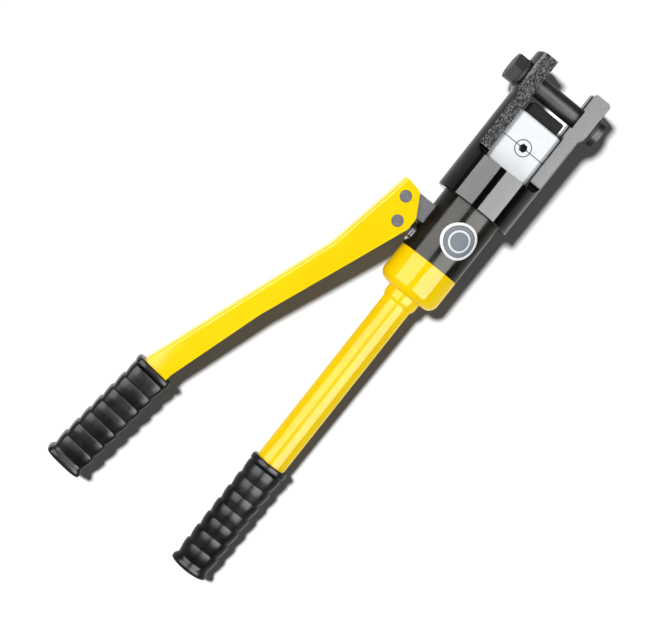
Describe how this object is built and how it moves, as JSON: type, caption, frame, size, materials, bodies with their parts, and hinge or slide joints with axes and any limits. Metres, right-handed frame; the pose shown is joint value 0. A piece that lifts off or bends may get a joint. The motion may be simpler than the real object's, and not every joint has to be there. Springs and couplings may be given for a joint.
{
  "type": "hydraulic crimping tool",
  "caption": "Hand hydraulic crimping tool with a swivelling fork head, a removable cross pin, hexagon dies, a lever pump and a tube handle that holds the oil.",
  "frame": {"origin": "centre of the hexagon crimp nest, on the tool's long axis, halfway between the die faces", "axes": "+Y along the tool's long axis to the cross pin, -X to the pump lever, +Z the crimp axis on the front side"},
  "size_m": [0.1944, 0.5024, 0.068],
  "materials": {
    "forged_black": "gloss black paint over a forging",
    "black_oxide": "satin black oxide",
    "yellow_paint": "gloss yellow powder coat",
    "zinc_die": "bright zinc plate",
    "grey_steel": "ground grey steel",
    "bright_steel": "polished steel",
    "spring_steel": "spring wire",
    "grip_rubber": "soft moulded rubber",
    "seal_rubber": "nitrile rubber",
    "seal_plastic": "white PTFE",
    "bronze": "bronze",
    "badge_print": "grey sticker with a white rim"
  },
  "bodies": {
    "cylinder": {"cylinder_body": "black_oxide", "ram_wiper": "seal_rubber", "ram_guide_ring": "bronze", "cap_o_ring": "seal_rubber", "head_retaining_ring": "spring_steel", "plunger_seal": "seal_rubber", "pump_gland": "bright_steel", "delivery_ball": "bright_steel", "delivery_spring": "spring_steel", "delivery_plug": "grey_steel", "intake_ball": "bright_steel", "intake_spring": "spring_steel", "intake_plug": "grey_steel", "relief_ball": "bright_steel", "relief_spring": "spring_steel", "relief_screw": "grey_steel", "release_ball": "bright_steel", "spring_anchor": "grey_steel", "base_cap": "yellow_paint", "reservoir_tube": "yellow_paint", "tube_plug": "grey_steel", "oil_bladder": "seal_rubber", "bladder_clip": "grey_steel", "fixed_grip": "grip_rubber", "pivot_lug": "grey_steel", "pivot_bush": "bronze", "badge": "badge_print"},
    "head": {"head_frame": "forged_black", "cross_pin": "black_oxide", "pin_nut": "grey_steel", "pin_washers": "black_oxide"},
    "upper_die_group": {"upper_die": "zinc_die", "upper_die_ring": "spring_steel", "upper_die_seat": "black_oxide"},
    "ram_group": {"ram": "bright_steel", "lower_die": "zinc_die", "lower_die_ring": "spring_steel", "ram_seal": "seal_rubber", "ram_backup_ring": "seal_plastic", "spring_hook_pin": "grey_steel", "return_spring": "spring_steel"},
    "pump_lever": {"pump_handle": "yellow_paint", "pivot_pin": "grey_steel", "plunger_pin": "grey_steel", "handle_grip": "grip_rubber"},
    "plunger": {"pump_plunger": "grey_steel"},
    "release": {"release_screw": "grey_steel"}
  },
  "joints": [
    {"name": "head_swivel", "type": "hinge", "parent": "cylinder", "child": "head", "pos_m": [0, -0.056, 0], "axis": [0, 1, 0], "range_deg": [-90, 90]},
    {"name": "upper_die_slide", "type": "slide", "parent": "head", "child": "upper_die_group", "axis": [0, 1, 0], "range_m": [0, 0.0032]},
    {"name": "ram_slide", "type": "slide", "parent": "head", "child": "ram_group", "axis": [0, 1, 0], "range_m": [-0.017, 0], "deforming": ["return_spring"]},
    {"name": "lever_hinge", "type": "hinge", "parent": "cylinder", "child": "pump_lever", "pos_m": [-0.0496, -0.0876, 0], "axis": [0, 0, 1], "range_deg": [-45, 13]},
    {"name": "plunger_slide", "type": "slide", "parent": "cylinder", "child": "plunger", "axis": [1, 0, 0], "range_m": [-0.0154, 0.0045]},
    {"name": "release_turn", "type": "hinge", "parent": "cylinder", "child": "release", "pos_m": [0, -0.0974, -0.028], "axis": [0, 0, -1], "range_deg": [0, 90]}
  ],
  "couplings": [
    {"joint": "plunger_slide", "follows": "lever_hinge", "m_per_rad": 0.0195}
  ]
}
